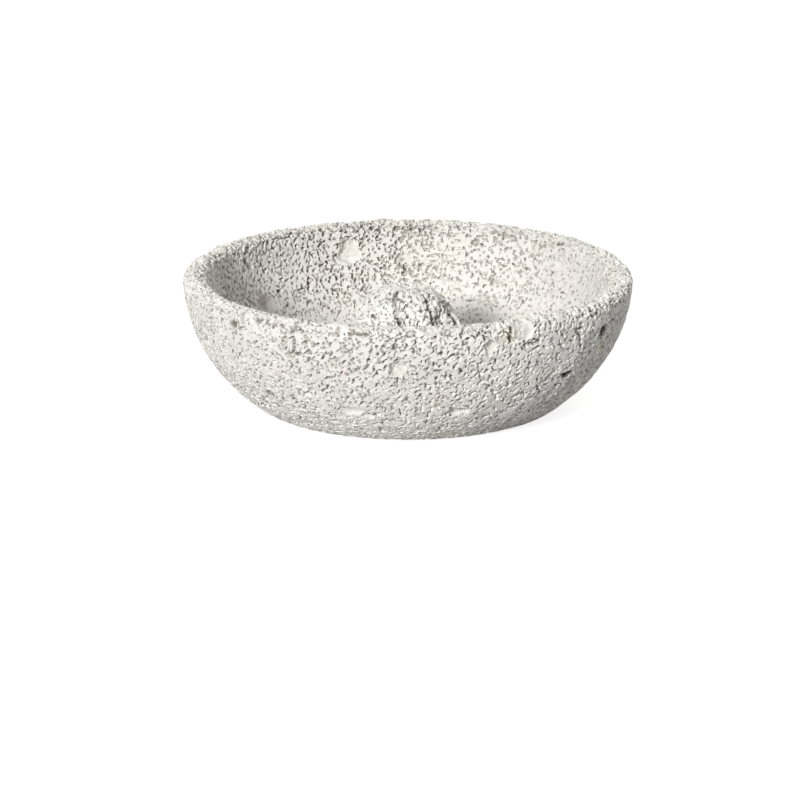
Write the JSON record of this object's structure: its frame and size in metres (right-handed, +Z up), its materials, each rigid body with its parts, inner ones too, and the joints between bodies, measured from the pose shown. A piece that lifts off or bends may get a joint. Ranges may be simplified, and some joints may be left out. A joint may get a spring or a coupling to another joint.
{
  "type": "incense stick holder",
  "caption": "Round cast stone bowl with a pitted crumbly surface and a craggy rock standing in the middle of its floor, with a metal-lined hole in the rock's top for an incense stick.",
  "frame": {"origin": "centre of the face that the holder stands on", "axes": "+Z up along the bowl's axis and the stick; -Y towards the front of the picture; +X to its right"},
  "size_m": [0.098, 0.098, 0.029],
  "materials": {
    "bowl_stone": "rough porous cast",
    "rock_stone": "rough craggy cast",
    "sleeve_brass": "satin",
    "pad_cork": "fine cork"
  },
  "bodies": {
    "root": {"bowl": "bowl_stone", "stick_rock": "rock_stone", "stick_sleeve": "sleeve_brass", "foot_pad": "pad_cork"}
  },
  "joints": []
}
